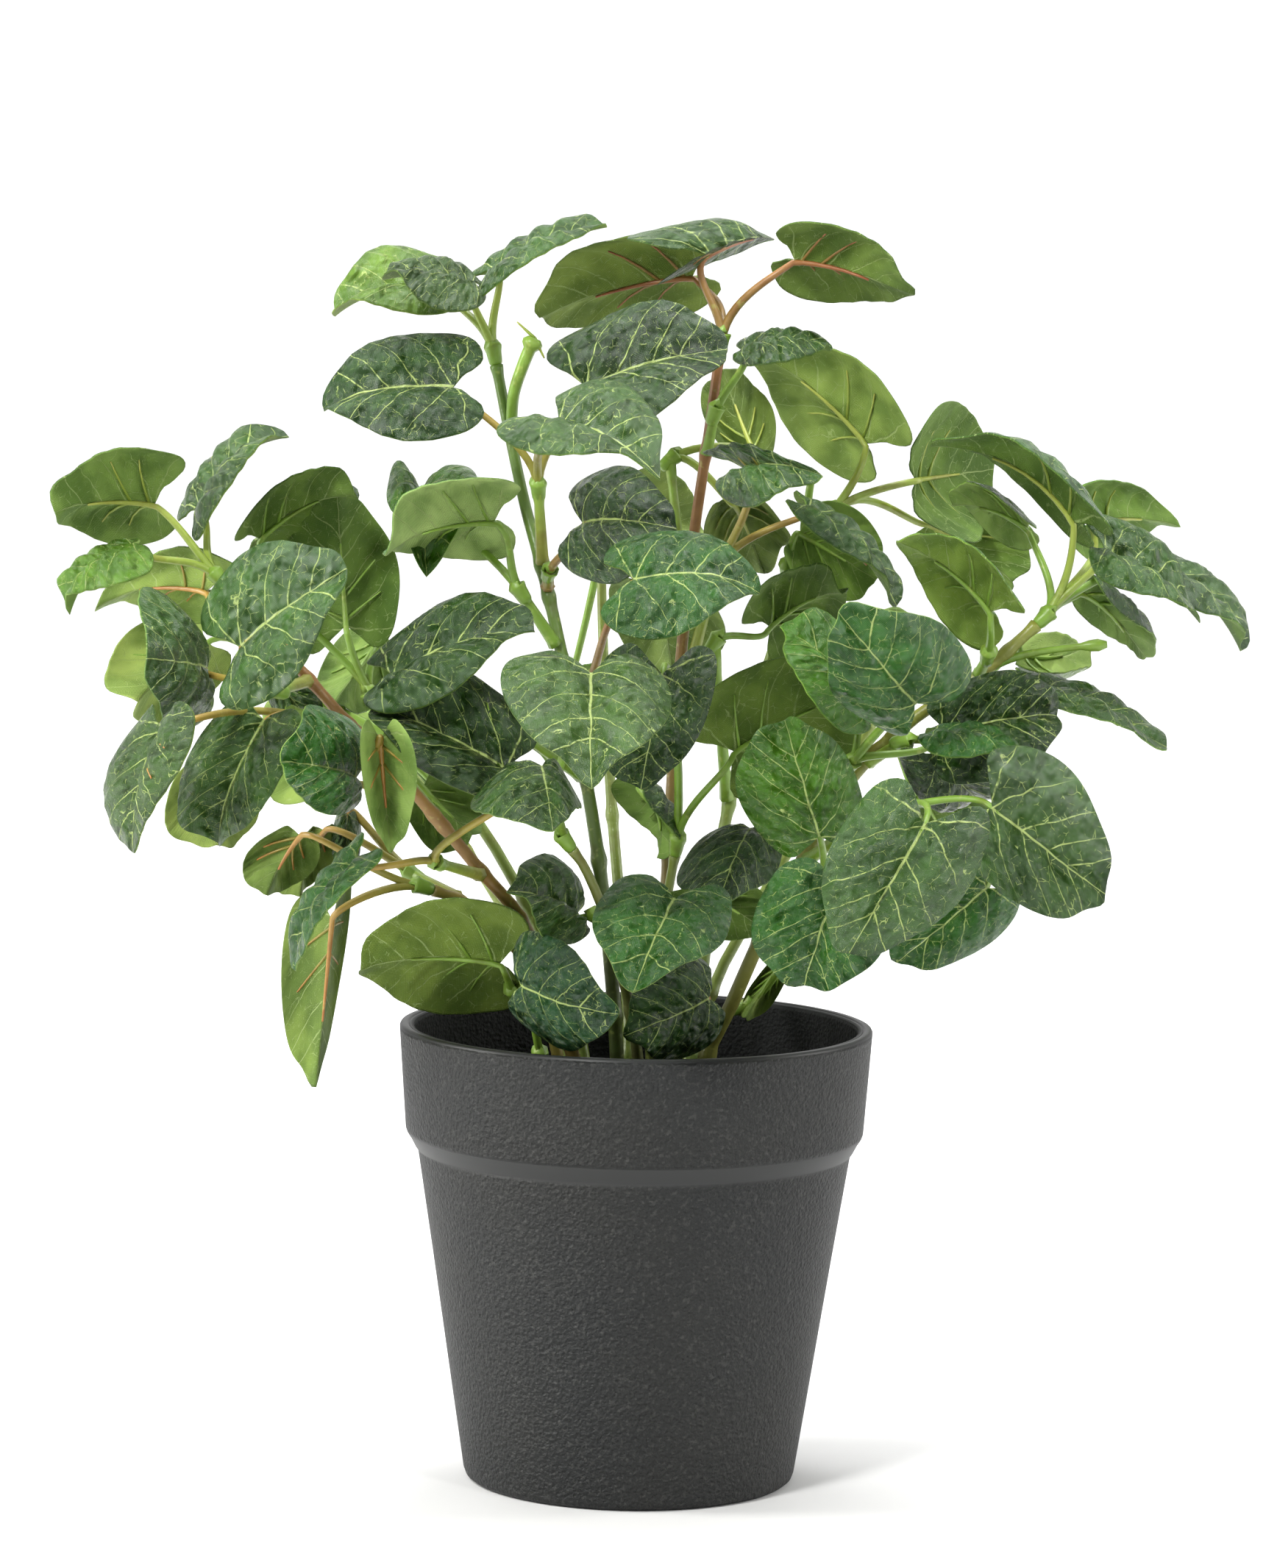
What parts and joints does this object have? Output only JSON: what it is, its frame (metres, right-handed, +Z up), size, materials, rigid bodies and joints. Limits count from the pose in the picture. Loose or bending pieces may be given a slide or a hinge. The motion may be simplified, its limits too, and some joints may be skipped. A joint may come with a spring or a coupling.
{
  "type": "potted ivy",
  "caption": "Small artificial ivy with heart-shaped woven leaves on branching stems, standing in a round tapered plastic pot with a stepped collar.",
  "frame": {"origin": "centre of the pot's foot, on the surface it stands on", "axes": "+Z up the pot's axis, -Y toward the front of the plant, +X to the right seen from the front"},
  "size_m": [0.296, 0.2303, 0.3217],
  "materials": {
    "pot": "dark grey moulded plastic, fine orange-peel grain, matt",
    "plug": "near-black cast filler, matt",
    "stem": "olive-green moulded plastic, satin",
    "leaf": "printed woven polyester, satin, with moulded green ribs and stalks"
  },
  "bodies": {
    "root": {"pot": "pot", "plug": "plug", "stem_a": "stem", "stem_b": "stem", "stem_c": "stem", "stem_d": "stem", "stem_e": "stem", "stem_f": "stem", "stem_g": "stem", "stem_h": "stem", "stem_i": "stem", "stem_j": "stem", "stem_k": "stem", "stem_l": "stem", "sprig_a1": "leaf", "sprig_a2": "leaf", "sprig_a3": "leaf", "sprig_a4": "leaf", "sprig_a5": "leaf", "sprig_a6": "leaf", "sprig_b1": "leaf", "sprig_b2": "leaf", "sprig_b3": "leaf", "sprig_b4": "leaf", "sprig_c1": "leaf", "sprig_c2": "leaf", "sprig_c3": "leaf", "sprig_c4": "leaf", "sprig_c5": "leaf", "sprig_c6": "leaf", "sprig_c7": "leaf", "sprig_c8": "leaf", "sprig_c9": "leaf", "sprig_d1": "leaf", "sprig_d2": "leaf", "sprig_d3": "leaf", "sprig_e1": "leaf", "sprig_e2": "leaf", "sprig_e3": "leaf", "sprig_e4": "leaf", "sprig_e5": "leaf", "sprig_e6": "leaf", "sprig_e7": "leaf", "sprig_f1": "leaf", "sprig_f2": "leaf", "sprig_g1": "leaf", "sprig_g2": "leaf", "sprig_g3": "leaf", "sprig_g4": "leaf", "sprig_h1": "leaf", "sprig_h2": "leaf", "sprig_h3": "leaf", "sprig_h4": "leaf", "sprig_i1": "leaf", "sprig_i2": "leaf", "sprig_i3": "leaf", "sprig_j1": "leaf", "sprig_k1": "leaf", "sprig_l1": "leaf"}
  },
  "joints": []
}
